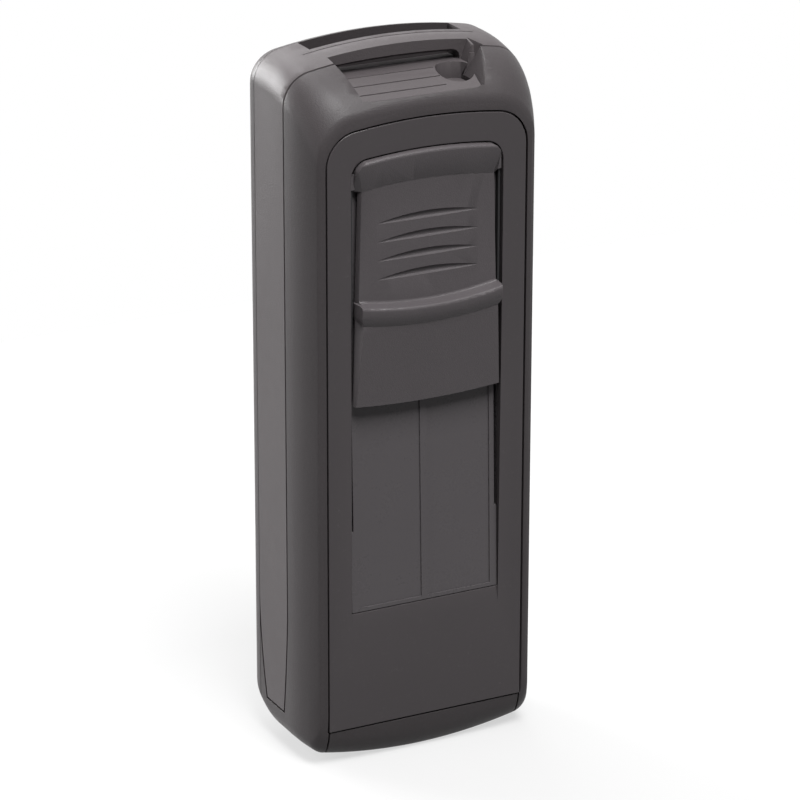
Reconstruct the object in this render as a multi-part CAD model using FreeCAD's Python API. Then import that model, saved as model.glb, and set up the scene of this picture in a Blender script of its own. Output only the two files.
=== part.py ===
import FreeCAD, Part
import math
import os

V = FreeCAD.Vector
X_AXIS = V(1, 0, 0)
Y_AXIS = V(0, 1, 0)

# Frame of the part: millimetres, +Z up along the case, the front face looks along -Y,
# and the origin is at the middle of the case's depth, on the surface that it stands on.
# A depth is measured backwards from the front face.

# Case outline, seen from the front
case_depth = 23.0
side_half_width = 20.4
side_swell = 1.9
front_half_width = side_half_width - side_swell
front_top = 107.45
seam_top = 113.65
crest_top = 114.85
arch_radius = 90.0
crown_radius = 83.0
front_corner_radius = 7.5
seam_corner_radius = 5.2
foot_corner_radius = 3.4

# Case outline, seen from the side
front_seam_depth = 8.0
crest_depth = 15.5
rear_seam_depth = 18.5
shoulder_radius = 15.0
back_edge_radius = 4.0
back_top_radius = 5.0
heel_radius = 9.5
toe_depth = 2.7
toe_height = 6.6
bezel_chamfer = 0.3
bezel_chamfer_width = 0.5

# Walls, seams and fits
case_wall = 1.6
inner_half_width = side_half_width - case_wall - 0.1
inner_top = 104.15
back_wall = 1.6
seam_gap = 0.35
seam_land = 0.03
seam_lip_inset = 1.1
back_seam_gap = 0.12
panel_gap = 0.28
running_gap = 0.15
foot_gap = 0.28
slide_gap = 0.12

# Glossy front panel and its window
rail_width = 1.45
panel_half_width = front_half_width - rail_width
panel_bottom = 6.2
panel_top = 105.25
panel_thickness = 1.3
panel_corner_radius = 5.4
ledge_width = 1.1
ledge_depth = 1.3
window_border = 4.05
window_half_width = panel_half_width - window_border
window_bottom = 23.3
window_top = 100.55
window_corner_radius = 3.0

# Track floor under the thumb slider, shallow at its lower end and deeper under the slider
floor_depth_low = 0.35
floor_depth_high = 1.35
floor_ramp = 2.4
lane_recess = 0.25
lane_edge_gap = 1.4
rib_half_width = 0.6
track_thickness = 1.3
track_half_width = panel_half_width - ledge_width - 0.1
track_bottom = 17.6
track_top = 103.95
slit_start = window_half_width - 0.57

# Thumb slider
slider_travel = 33.6
button_top = 100.4
scoop_top = 95.75
lip_bottom = 72.8
lip_peak = 75.37
shield_bottom = 59.9
button_face_depth = -0.15
button_back_depth = 0.65
button_crest_depth = -1.0
lip_depth = -2.05
lip_under_depth = -1.35
lip_nose_radius = 0.55
lip_hollow_radius = 0.5
lip_turn = 75.0
slider_proud = 2.06
shield_end_depth = -0.3
shield_back_depth = 0.23
button_half_width = window_half_width - 1.65
button_low_half_width = window_half_width - 1.15
button_flank = 0.35
crest_end_half_width = button_half_width
crest_end_rise = 4.1
button_end_half_width = window_half_width - 0.6
lip_half_width = window_half_width - 0.9
lip_base_half_width = window_half_width - 0.5
lip_corner_radius = 1.5
lip_side_top = 77.2
slider_base_half_width = window_half_width - slide_gap
slider_base_thickness = 0.3
button_corner_radius = 2.4
slider_arch_radius = 85.0
lip_arch_radius = 66.0
shield_top_half_width = window_half_width - 1.45
shield_end_half_width = window_half_width - 0.45
shield_flank = 0.75
grip_steps = 5
grip_taper = 0.06
grip_count = 4
grip_half_length = 8.5
grip_width = 1.05
grip_depth = 0.45
grip_pitch = 3.0
grip_first = 80.95
flange_thickness = 0.33
carriage_depth = 3.0
carriage_thickness = 1.2
carriage_top = 99.15
leaf_half_width = 4.5
leaf_half_length = 3.0
leaf_thickness = 0.25

# Printing frame and its foot
foot_half_width = panel_half_width - running_gap
foot_height = 5.95
foot_window_front = 4.8
foot_window_back = 19.0
runner_front = 7.3
runner_back = 18.0
runner_height = 4.9
leg_thickness = 1.8
leg_inner = foot_half_width - 0.3 - leg_thickness
leg_half_depth = 6.5
foot_window_half_width = leg_inner - 0.4
runner_inner = leg_inner - 1.4
runner_outer = leg_inner + 0.8
leg_tongue_thickness = 1.0
leg_tongue_length = 2.3
bridge_thickness = 2.5

# Die that turns over between the pad and the paper
axle_radius = 1.5
plate_reach = 7.9
plate_half_length = leg_inner - 1.8
plate_half_depth = 4.4
block_down = 5.3
block_up = 3.4
ear_thickness = 0.9
cushion_thickness = 1.0
relief = 0.4
follower_radius = 1.0
follower_offset = 4.2
follower_reach = 0.8
groove_depth = 0.95
axle_half_length = inner_half_width - 0.1
bush_outer_radius = 2.4

# Ink pad and its cartridge
pad_gap = 0.05
pad_thickness = 3.85
pad_half_length = leg_inner - 1.2
pad_half_depth = 5.4
tray_half_length = leg_inner - 0.3
tray_half_depth = 6.3
tray_rim = 0.95
tray_roof = 3.5
tray_flange_reach = 0.6
tray_flange_thickness = 1.0

# Guides, bulkhead and return springs
guide_bottom = 13.15
guide_top = 63.15
guide_lip = 1.1
bulkhead_thickness = 1.5
spring_offset = plate_half_length - 4.5
spring_depth = 12.5
spring_radius = 3.2
spring_wire = 0.45
spring_turns = 14
peg_radius = 2.3
peg_height = 6.0

# Strap passage in the top end
strap_low_half_width = side_half_width - 10.1
strap_high_half_width = side_half_width - 8.4
strap_slot_half_width = side_half_width - 7.4
strap_scoop = 1.9
tongue_bottom = 106.05
strap_corner_radius = 2.0
strap_sill = 108.45
strap_sill_depth = 1.3
strap_floor_front = 108.15
strap_floor_crest = 110.45
strap_crest_depth = 7.8
strap_pocket_floor = 107.45
bar_front_depth = 10.2
bar_back_depth = 14.2
bar_bottom = 112.08
bar_arch_radius = 150.0
bar_end = side_half_width - 8.2
bar_leg_width = 1.5
bar_leg_depth = 2.2
bar_knee_radius = 1.2
bar_chamfer = 0.4
bar_gap_end = side_half_width - 6.6
bar_gap_front = 8.6
bar_gap_back = 10.7
basin_radius = 3.0
basin_x = 7.9
basin_depth = 6.5
basin_floor = 107.8
floor_line_width = 0.22
floor_line_depth = 0.15
floor_line_shares = (0.3, 0.64, 0.985)
top_line_depth = 13.0
top_line_half_length = 14.6

# Side band's lower end
band_tip = 6.75
band_tip_front_depth = 9.9
band_tip_back_depth = 15.9
band_taper_front = 34.0
band_taper_back = 31.15
band_front_bow = 0.28
band_back_bow = 0.3
band_bow_height = 0.36

axle_height = plate_reach
axle_depth = case_depth / 2
leg_outer = leg_inner + leg_thickness
slider_middle = (scoop_top + lip_bottom) / 2
inner_back = case_depth - back_wall
bearing_start = foot_half_width + foot_gap
slot_top = axle_height + slider_travel
bulkhead_bottom = inner_top - bulkhead_thickness
window_floor = window_bottom + floor_ramp
pad_face = slot_top + plate_reach + pad_gap
bridge_bottom = pad_face + pad_thickness + tray_roof
bridge_top = bridge_bottom + bridge_thickness
far = 60.0


def at_depth(depth):
    """Y coordinate of a depth behind the front face."""
    return depth - (case_depth - slider_proud) / 2


def box(x0, x1, depth0, depth1, z0, z1):
    """A box between two widths, two depths and two heights."""
    corner = V(min(x0, x1), at_depth(depth0), z0)
    return Part.makeBox(abs(x1 - x0), depth1 - depth0, z1 - z0, corner)


def both_sides(shape):
    """A shape and its mirror image across the middle plane."""
    return [shape, shape.mirror(V(0, 0, 0), X_AXIS)]


def arc(a, b, c):
    return Part.Arc(a, b, c).toShape()


def line(a, b):
    return Part.makeLine(a, b)


def corner_points(half, edge, big_radius, radius, up):
    """Where a corner round meets the side, its middle, and where it meets the arched edge."""
    centre = edge - up * big_radius
    inner = big_radius - radius
    cx = half - radius
    rise = math.sqrt(inner ** 2 - cx ** 2)
    angle = math.atan2(rise, cx)
    cz = centre + up * rise
    side = (half, cz)
    middle = (cx + radius * math.cos(angle / 2), cz + up * radius * math.sin(angle / 2))
    on_edge = (cx * big_radius / inner, centre + up * rise * big_radius / inner)
    return side, middle, on_edge


def outline(depth, half, top, bottom, top_radius, bottom_radius):
    """Closed outline in a plane of constant depth: arched top, crowned bottom, round corners."""
    y = at_depth(depth)
    t_side, t_mid, t_edge = corner_points(half, top, arch_radius, top_radius, 1)
    b_side, b_mid, b_edge = corner_points(half, bottom, crown_radius, bottom_radius, -1)

    def right(p):
        return V(p[0], y, p[1])

    def left(p):
        return V(-p[0], y, p[1])

    edges = [
        arc(left(b_edge), V(0, y, bottom), right(b_edge)),
        arc(right(b_edge), right(b_mid), right(b_side)),
        line(right(b_side), right(t_side)),
        arc(right(t_side), right(t_mid), right(t_edge)),
        arc(right(t_edge), V(0, y, top), left(t_edge)),
        arc(left(t_edge), left(t_mid), left(t_side)),
        line(left(t_side), left(b_side)),
        arc(left(b_side), left(b_mid), left(b_edge)),
    ]
    return Part.Wire(edges)


def half_width_at(depth):
    """Half the case's width: swelling to the seam, straight, then rounded at the back edge."""
    if depth < front_seam_depth:
        gain = side_half_width - front_half_width
        radius = (front_seam_depth ** 2 + gain ** 2) / (2 * gain)
        return side_half_width - radius + math.sqrt(radius ** 2 - (front_seam_depth - depth) ** 2)
    straight = case_depth - back_edge_radius
    if depth <= straight:
        return side_half_width
    drop = math.sqrt(max(back_edge_radius ** 2 - (depth - straight) ** 2, 0))
    return side_half_width - back_edge_radius + drop


def top_at(depth):
    """Height of the top edge: a shoulder arc to the seam, an easy rise to the crest, a round back."""
    if depth <= front_seam_depth:
        rise = seam_top - front_top
        chord = math.hypot(front_seam_depth, rise)
        slope = math.atan2(rise, front_seam_depth)
        offset = math.sqrt(shoulder_radius ** 2 - (chord / 2) ** 2)
        cy = front_seam_depth / 2 + offset * math.sin(slope)
        cz = (front_top + seam_top) / 2 - offset * math.cos(slope)
        return cz + math.sqrt(shoulder_radius ** 2 - (depth - cy) ** 2)
    run = crest_depth - front_seam_depth
    rise = crest_top - seam_top
    if depth <= crest_depth:
        radius = (run ** 2 + rise ** 2) / (2 * rise)
        return crest_top - radius + math.sqrt(radius ** 2 - (crest_depth - depth) ** 2)
    round_start = case_depth - back_top_radius
    if depth <= round_start:
        return crest_top
    return crest_top - back_top_radius + math.sqrt(max(back_top_radius ** 2 - (depth - round_start) ** 2, 0))


def bottom_at(depth):
    """Height of the bottom edge: an elliptic toe under the front face, level, then the round heel."""
    if depth < toe_depth:
        return toe_height * (1 - math.sqrt(1 - ((toe_depth - depth) / toe_depth) ** 2))
    start = case_depth - heel_radius
    if depth <= start:
        return 0.0
    return heel_radius - math.sqrt(max(heel_radius ** 2 - (depth - start) ** 2, 0))


def corner_radius_at(depth):
    """Radius of the top corners, larger at the front face and shrinking with the back edge."""
    if depth < front_seam_depth:
        share = depth / front_seam_depth
        return front_corner_radius + (seam_corner_radius - front_corner_radius) * share
    return max(seam_corner_radius - (side_half_width - half_width_at(depth)), 1.2)


def section(depth, inset=0.0):
    half = half_width_at(depth)
    low_radius = max(foot_corner_radius - (side_half_width - half) * 0.5, 1.4)
    return outline(depth, half - inset, top_at(depth) - inset, bottom_at(depth), corner_radius_at(depth),
                   low_radius)


def case_zone(depths):
    """The case's outer form between the first and last of the given depths."""
    return Part.makeLoft([section(d) for d in depths], True, False)


def case_front(depths):
    """The outer form from the front face: a chamfer round the bezel, then the smooth form."""
    chamfer = Part.makeLoft([section(0, bezel_chamfer_width), section(bezel_chamfer)], True, True)
    return chamfer.fuse(case_zone([bezel_chamfer] + depths))


def toe_steps():
    """Depths that follow the rounded lower front edge."""
    return [toe_depth * share for share in (0.17, 0.3, 0.5, 0.75, 1.0)]


def seam_steps():
    """Depths between the toe and the front seam."""
    return [toe_depth + (front_seam_depth - toe_depth) * share for share in (0, 0.25, 0.5, 0.75, 1)]


def prism_x(points_or_edges, half):
    """A solid across the case from a closed wire in the plane of depth and height."""
    face = Part.Face(Part.Wire(points_or_edges))
    face.translate(V(-half, 0, 0))
    return face.extrude(V(2 * half, 0, 0))


def side_point(depth, z):
    return V(0, at_depth(depth), z)


def polygon_x(points, half):
    """A prism across the case from corners given as depth and height."""
    corners = [side_point(*p) for p in points]
    return prism_x([Part.makePolygon(corners + [corners[0]])], half)


def plate_outline(half, top, bottom, radius, depth0, depth1, low_radius=None):
    """A flat plate with an arched top, seen from the front, between two depths."""
    y = at_depth(depth0)
    t_side, t_mid, t_edge = corner_points(half, top, arch_radius, radius, 1)
    low = low_radius or 0.0

    def p(q, sign=1):
        return V(sign * q[0], y, q[1])

    edges = [
        line(V(-half + low, y, bottom), V(half - low, y, bottom)),
        line(V(half, y, bottom + low), p(t_side)),
        arc(p(t_side), p(t_mid), p(t_edge)),
        arc(p(t_edge), V(0, y, top), p(t_edge, -1)),
        arc(p(t_edge, -1), p(t_mid, -1), p(t_side, -1)),
        line(p(t_side, -1), V(-half, y, bottom + low)),
    ]
    if low:
        reach = low * (1 - math.sqrt(0.5))
        for sign in (1, -1):
            edges.append(arc(V(sign * (half - low), y, bottom), V(sign * (half - reach), y, bottom + reach),
                             V(sign * half, y, bottom + low)))
    face = Part.Face(Part.Wire(Part.__sortEdges__(edges)))
    return face.extrude(V(0, depth1 - depth0, 0))


def inner_space(start_depth):
    """The room inside the case, from a depth back to the rear wall and down to the foot."""
    heel_start = case_depth - heel_radius
    inner_heel = heel_radius - back_wall
    low = foot_height + running_gap
    fall = math.asin((heel_radius - low) / inner_heel)
    low_back = heel_start + inner_heel * math.cos(fall)
    middle = side_point(heel_start + inner_heel * math.cos(fall / 2),
                        heel_radius - inner_heel * math.sin(fall / 2))
    profile = [
        line(side_point(start_depth, low), side_point(low_back, low)),
        arc(side_point(low_back, low), middle, side_point(inner_back, heel_radius)),
        line(side_point(inner_back, heel_radius), side_point(inner_back, inner_top)),
        line(side_point(inner_back, inner_top), side_point(start_depth, inner_top)),
        line(side_point(start_depth, inner_top), side_point(start_depth, low)),
    ]
    room = prism_x(profile, inner_half_width)
    narrow = inner_half_width - back_wall
    corner_start = case_depth - back_edge_radius + back_wall / 2
    for trim in both_sides(box(narrow, far, corner_start, case_depth, -far, 2 * far)):
        room = room.cut(trim)
    return room


def foot_room():
    """The mouth of the case that the foot fills, open downwards."""
    half = foot_half_width + foot_gap
    return box(-half, half, -1, case_depth + 1, -1, foot_height + running_gap)


def band_region(clearance):
    """The side band's share of the case, with its tapered lower end."""
    front = front_seam_depth - clearance
    back = rear_seam_depth - back_seam_gap + clearance
    tip = band_tip - clearance
    tip_front = band_tip_front_depth - clearance
    tip_back = band_tip_back_depth + clearance
    mid_front = side_point(front + band_front_bow * (tip_front - front), (band_taper_front + tip) / 2)
    mid_back = side_point(back - band_back_bow * (back - tip_back),
                          tip + band_bow_height * (band_taper_back - tip))
    edges = [
        line(side_point(front, 2 * far), side_point(front, band_taper_front)),
        arc(side_point(front, band_taper_front), mid_front, side_point(tip_front, tip)),
        line(side_point(tip_front, tip), side_point(tip_back, tip)),
        arc(side_point(tip_back, tip), mid_back, side_point(back, band_taper_back)),
        line(side_point(back, band_taper_back), side_point(back, 2 * far)),
        line(side_point(back, 2 * far), side_point(front, 2 * far)),
    ]
    return prism_x(edges, far)


def strap_prism(grow, low, depth0, depth1, radius):
    """The strap passage seen from the front: sides that lean outwards, lower corners rounded."""
    near = strap_low_half_width + grow
    wide = strap_high_half_width + grow
    top = 2 * far
    corners = [(-near, low), (near, low), (near, strap_sill), (wide, seam_top), (wide, top),
               (-wide, top), (-wide, seam_top), (-near, strap_sill)]
    if low == strap_sill:
        corners = [c for i, c in enumerate(corners) if i not in (2, 7)]
    prism = polygon_xz(corners, depth0, depth1)
    if radius:
        sharp = [e for e in prism.Edges if e.Length == depth1
                 - depth0 or abs(e.BoundBox.YLength - e.Length) < 1e-6]
        sharp = [e for e in sharp if abs(e.BoundBox.ZMin - low) < 1e-6]
        prism = prism.makeFillet(radius, sharp)
    return prism


def strap_cut():
    """The notch in the front shell through which the strap passage shows."""
    lip = strap_prism(0, strap_sill, -1, strap_sill_depth, strap_corner_radius)
    room = strap_prism(0, tongue_bottom, strap_sill_depth, front_seam_depth + 1, 0)
    scoop = polygon_xz([(strap_low_half_width, strap_sill), (strap_high_half_width + strap_scoop, seam_top),
                        (strap_high_half_width + strap_scoop, 2 * far), (strap_low_half_width, 2 * far)],
                       -1, front_seam_depth + 1)
    return lip.fuse(room).fuse(scoop)


def bearing_blocks():
    """Blocks inside the sides that hold the axle's bushes."""
    reach = bush_outer_radius + 1.2
    middle = axle_depth
    block = box(bearing_start, inner_half_width - running_gap, middle - reach, middle + reach,
                foot_height - 1, axle_height + reach)
    return both_sides(block)


def bush_holes():
    hole = Part.makeCylinder(bush_outer_radius, 2 * far, V(-far, at_depth(axle_depth), axle_height), X_AXIS)
    return hole.common(box(-inner_half_width, inner_half_width, 0, case_depth, 0, far))


def front_shell():
    """Hood round the panel: side rails, shoulder and the heel under the side band."""
    shell = case_front(toe_steps()).fuse(case_zone(seam_steps()))
    end = rear_seam_depth - back_seam_gap
    heel_start = case_depth - heel_radius
    heel = case_zone([front_seam_depth, (front_seam_depth + heel_start) / 2, heel_start, crest_depth,
                      (crest_depth + end) / 2, end])
    heel = heel.common(box(-far, far, 0, case_depth, -1, band_taper_back))
    shell = shell.fuse(heel).cut(band_region(seam_gap).common(box(-far, far, front_seam_depth, far, -far,
                                                                  3 * far)))
    low = foot_height + running_gap
    shell = shell.cut(plate_outline(panel_half_width + panel_gap, panel_top + panel_gap, low,
                                    panel_corner_radius + panel_gap, -1, panel_thickness))
    shell = shell.cut(plate_outline(panel_half_width - ledge_width, panel_top - ledge_width, low,
                                    panel_corner_radius - ledge_width, 0, panel_thickness + ledge_depth))
    shell = shell.cut(inner_space(panel_thickness + ledge_depth))
    shell = shell.cut(foot_room()).cut(strap_cut())
    for block in bearing_blocks():
        shell = shell.fuse(block)
    return shell.cut(bush_holes()).removeSplitter()


def middle_frame():
    """Band over both sides and the top, with the strap bar, passage and sloping floor."""
    start = front_seam_depth + seam_gap
    end = rear_seam_depth - back_seam_gap
    steps = [start + (crest_depth - start) * share for share in (0.25, 0.6, 1.0)]
    band = case_zone([start] + steps + [end]).common(band_region(0))
    lip = case_zone([front_seam_depth + seam_land, start]).common(
        plate_outline(side_half_width - seam_lip_inset, seam_top - seam_lip_inset, band_taper_front,
                      seam_corner_radius, 0, case_depth))
    band = band.fuse(lip).cut(inner_space(front_seam_depth - 1))
    low = tongue_bottom + seam_land
    band = band.cut(strap_prism(0, low, 0, start, 0))
    room = strap_prism(0, strap_pocket_floor, 0, case_depth, 0)
    band = band.cut(room.cut(strap_bar()))
    band = band.cut(box(-strap_slot_half_width, strap_slot_half_width, bar_back_depth, case_depth,
                        strap_pocket_floor, 2 * far))
    band = band.cut(bar_end_gap(start))
    band = band.fuse(strap_floor(low)).cut(top_line())
    return band.removeSplitter()


def strap_floor(low):
    """Floor that slopes up under the bar, with fine cross lines and a basin beside the bar's leg."""
    front = strap_sill_depth + seam_land
    floor = polygon_x([(front, low), (front, strap_floor_front), (strap_crest_depth, strap_floor_crest),
                       (bar_back_depth, strap_floor_crest), (bar_back_depth, low)], far)
    floor = floor.common(strap_prism(-running_gap, low, 0, case_depth, 0))
    floor = floor.cut(Part.makeCylinder(basin_radius, far, V(basin_x, at_depth(basin_depth), basin_floor)))
    half = strap_low_half_width - running_gap
    for share in floor_line_shares:
        depth = strap_sill_depth + share * (strap_crest_depth - strap_sill_depth)
        z = strap_floor_front + share * (strap_floor_crest - strap_floor_front)
        floor = floor.cut(box(-half, basin_x - basin_radius, depth, depth + floor_line_width,
                              z - floor_line_depth,
                              z + 1))
    return floor


def strap_bar():
    """Room that the strap bar keeps: an arched bar, bent down into a leg at its right end."""
    bar = box(-far, bar_end, bar_front_depth, bar_back_depth, strap_pocket_floor - 1, 2 * far)
    centre = bar_bottom - bar_arch_radius
    below = Part.makeCylinder(bar_arch_radius, case_depth, V(0, at_depth(0), centre), Y_AXIS)
    bar = bar.cut(below)
    front, low = bar_front_depth - 1, bar_bottom - 1
    bevel = [side_point(front, low), side_point(front, bar_bottom + 1 + bar_chamfer),
             side_point(bar_front_depth + bar_chamfer + 1, low)]
    bar = bar.cut(arched_profile([Part.makePolygon(bevel + [bevel[0]])], bar_bottom, bar_arch_radius,
                                 bar_end + 1,
                                 True))
    inner = bar_end - bar_leg_width
    back = bar_front_depth + bar_leg_depth
    leg = box(inner - bar_knee_radius, bar_end, bar_front_depth, back, bar_bottom - bar_knee_radius,
              bar_bottom + 1)
    leg = leg.cut(Part.makeCylinder(bar_knee_radius, case_depth,
                                    V(inner - bar_knee_radius, at_depth(0), bar_bottom - bar_knee_radius),
                                    Y_AXIS))
    leg = leg.fuse(box(inner, bar_end, bar_front_depth, back, strap_pocket_floor - 1, bar_bottom + 1))
    return bar.fuse(leg)


def bar_end_gap(start):
    """Wedge-shaped gap between the bar's right end and the front shell."""
    corners = [V(x, at_depth(d), basin_floor) for x, d in
               ((bar_end, bar_gap_back), (bar_end, start - 1), (bar_gap_end, start - 1),
                (bar_gap_end, bar_gap_front))]
    face = Part.Face(Part.makePolygon(corners + [corners[0]]))
    return face.extrude(V(0, 0, far))


def top_line():
    """Fine line across the top, following its arch."""
    top = top_at(top_line_depth)
    line_box = box(-top_line_half_length, top_line_half_length, top_line_depth,
                   top_line_depth + floor_line_width,
                   top - 5, top + 1)
    inside = Part.makeCylinder(arch_radius - floor_line_depth, case_depth,
                               V(0, at_depth(0), top - arch_radius), Y_AXIS)
    return line_box.cut(inside)


def rear_shell():
    """Back cover, closed round the heel down to the foot."""
    edge = case_depth - back_edge_radius
    steps = [edge + back_edge_radius * math.sin(math.radians(a)) for a in (20, 42, 64, 80, 90)]
    shell = case_zone([rear_seam_depth, edge] + steps)
    return shell.cut(inner_space(rear_seam_depth - 1)).cut(foot_room()).removeSplitter()


def front_panel():
    """Glossy panel with the slider's window, whose lower edge ramps down to the track's floor."""
    panel = plate_outline(panel_half_width, panel_top, panel_bottom, panel_corner_radius, 0, panel_thickness)
    window = plate_outline(window_half_width, window_top, window_floor, window_corner_radius, -1,
                           panel_thickness + 1)
    ramp = polygon_x([(0, window_bottom), (floor_depth_low, window_floor),
                      (floor_depth_low, window_floor + 1),
                      (-1, window_floor + 1), (-1, window_bottom)], window_half_width)
    return panel.cut(window).cut(ramp)


def track_plate():
    """Sloping floor under the slider: two shallow lanes, a middle rib and a slit down each side."""
    back = panel_thickness + track_thickness
    plate = plate_outline(track_half_width, track_top, track_bottom, panel_corner_radius - ledge_width,
                          panel_thickness, back)
    low = window_floor + running_gap
    high = window_top - 3 * running_gap - window_half_width ** 2 / (2 * arch_radius)
    inset = window_half_width - running_gap
    plate = plate.fuse(box(-inset, inset, 0, panel_thickness, low, high))
    plate = plate.cut(floor_room(0, inset, low, high))
    lane_room = floor_room(lane_recess, inset, low + 0.6, high - 3)
    for lane in both_sides(box(rib_half_width, window_half_width - lane_edge_gap, -1, back, low, high)):
        plate = plate.cut(lane_room.common(lane))
    slit_low = lip_bottom + flange_thickness - slider_travel - running_gap
    for slit in both_sides(box(slit_start, window_half_width + 0.03, -1, back + 1, slit_low,
                               carriage_top - 1)):
        plate = plate.cut(slit)
    for height in (slider_middle, slider_middle - slider_travel):
        plate = plate.cut(box(-leaf_half_width - 0.5, leaf_half_width + 0.5, back - 0.2, back + 1,
                              height - 0.8,
                              height + 0.8))
    return plate.removeSplitter()


def floor_room(extra, half, low, high):
    """Everything in front of the track's floor, which falls back evenly from its lower end."""
    points = [(-1, low), (floor_depth_low + extra, low), (floor_depth_high + extra, shield_bottom),
              (floor_depth_high + extra, high), (-1, high)]
    return polygon_x(points, half)


def guide_rails():
    """A channel down each side in which a leg of the printing frame runs."""
    middle = axle_depth
    reach = leg_half_depth + slide_gap + guide_lip
    web = box(leg_outer + running_gap, inner_half_width, middle - reach, middle + reach, guide_bottom,
              guide_top)
    rail = web
    lip_tip = leg_outer - 1.0
    for d0 in (middle - reach, middle + leg_half_depth + slide_gap):
        rail = rail.fuse(box(lip_tip, leg_outer + 1, d0, d0 + guide_lip, guide_bottom, guide_top))
    rail = rail.removeSplitter()
    return both_sides(rail)


def top_bulkhead():
    """Cross wall under the case's top, with the pegs that hold the springs."""
    front = carriage_depth + carriage_thickness + running_gap
    wall = box(-inner_half_width + 0.05, inner_half_width - 0.05, front, case_depth - back_edge_radius,
               bulkhead_bottom, inner_top)
    for x in (-spring_offset, spring_offset):
        base = V(x, at_depth(spring_depth), bulkhead_bottom - peg_height)
        wall = wall.fuse(Part.makeCylinder(peg_radius, peg_height, base))
    return wall.removeSplitter()


def axle_bushes():
    """Two plain bearings in the sides of the case."""
    length = inner_half_width - running_gap - bearing_start
    start = V(bearing_start, at_depth(axle_depth), axle_height)
    ring = Part.makeCylinder(bush_outer_radius - 0.01, length, start, X_AXIS)
    bore = Part.makeCylinder(axle_radius + 0.05, length, start, X_AXIS)
    return Part.makeCompound(both_sides(ring.cut(bore)))


def follower_track(grow, x0, x1):
    """The cam groove: the follower circles the axle half a turn while the frame travels down."""
    steps = 16
    points = []
    for i in range(steps + 1):
        turn = math.pi * i / steps
        y = at_depth(axle_depth) - follower_offset * math.sin(turn)
        z = axle_height + slider_travel * i / steps + follower_offset * math.cos(turn)
        points.append((y, z))
    half = follower_radius + grow
    left, right = [], []
    for i, (y, z) in enumerate(points):
        y0, z0 = points[max(i - 1, 0)]
        y1, z1 = points[min(i + 1, steps)]
        length = math.hypot(y1 - y0, z1 - z0)
        ny, nz = (z1 - z0) / length, -(y1 - y0) / length
        left.append(V(x0, y - half * ny, z - half * nz))
        right.append(V(x0, y + half * ny, z + half * nz))
    sides = []
    for run in (left, right):
        curve = Part.BSplineCurve()
        curve.interpolate(run)
        sides.append(curve.toShape())
    ends = [line(left[0], right[0]), line(left[-1], right[-1])]
    face = Part.Face(Part.Wire(Part.__sortEdges__(sides + ends)))
    groove = face.extrude(V(x1 - x0, 0, 0))
    for y, z in (points[0], points[-1]):
        groove = groove.fuse(Part.makeCylinder(half, x1 - x0, V(x0, y, z), X_AXIS))
    return groove


def frame_leg():
    """Right leg: axle slot, cam groove and the channel for the ink cartridge."""
    middle = axle_depth
    leg = box(leg_inner, leg_outer, middle - leg_half_depth, middle + leg_half_depth, foot_height, bridge_top)
    tongue_start = leg_inner + (leg_thickness - leg_tongue_thickness) / 2
    leg = leg.fuse(box(tongue_start, tongue_start + leg_tongue_thickness, middle - 5, middle + 5,
                       foot_height - leg_tongue_length, foot_height))
    slot_half = axle_radius + slide_gap
    slot = box(leg_inner - 1, leg_outer + 1, middle - slot_half, middle + slot_half, axle_height, slot_top)
    for z in (axle_height, slot_top):
        slot = slot.fuse(Part.makeCylinder(slot_half, leg_thickness + 2,
                                           V(leg_inner - 1, at_depth(axle_depth), z), X_AXIS))
    leg = leg.cut(slot).cut(follower_track(running_gap, leg_inner - 1, leg_inner + groove_depth))
    low = pad_face + tray_rim + 0.9
    channel = box(leg_inner - 1, leg_inner + tray_flange_reach + 0.1, 0, case_depth, low,
                  low + tray_flange_thickness + 2 * slide_gap)
    return leg.cut(channel)


def print_frame():
    """Two legs joined by a bridge that carries the cartridge and the springs."""
    middle = axle_depth
    frame = frame_leg()
    frame = frame.fuse(frame.mirror(V(0, 0, 0), X_AXIS))
    frame = frame.fuse(box(-leg_outer, leg_outer, middle - leg_half_depth, middle + leg_half_depth,
                           bridge_bottom, bridge_top))
    front = carriage_depth + carriage_thickness
    frame = frame.fuse(box(-slider_base_half_width, slider_base_half_width, front, middle, bridge_bottom,
                           bridge_top))
    for x in (-spring_offset, spring_offset):
        frame = frame.fuse(Part.makeCylinder(peg_radius, peg_height,
                                             V(x, at_depth(spring_depth), bridge_top)))
    return frame.removeSplitter()


def foot_shoe():
    """The visible end piece: a ring round the print window, crowned and rounded like the case."""
    heel = [case_depth - heel_radius * (1 - math.sin(math.radians(a))) for a in (25, 45, 60, 72)]
    form = case_front(toe_steps() + seam_steps()[1:] + [case_depth - heel_radius] + heel)
    form = form.common(box(-foot_half_width, foot_half_width, 0, case_depth, 0, foot_height))
    form = form.cut(box(-foot_window_half_width, foot_window_half_width, foot_window_front, foot_window_back,
                        -1, foot_height + 1))
    for runner in both_sides(box(runner_inner, runner_outer, runner_front, runner_back, 0, runner_height)):
        form = form.fuse(runner)
    start = leg_inner + (leg_thickness - leg_tongue_thickness) / 2 - 0.05
    middle = axle_depth
    for socket in both_sides(box(start, start + leg_tongue_thickness + 0.1, middle - 5.05, middle + 5.05,
                                 foot_height - leg_tongue_length - 0.1, foot_height + 1)):
        form = form.cut(socket)
    return form.removeSplitter()


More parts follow.
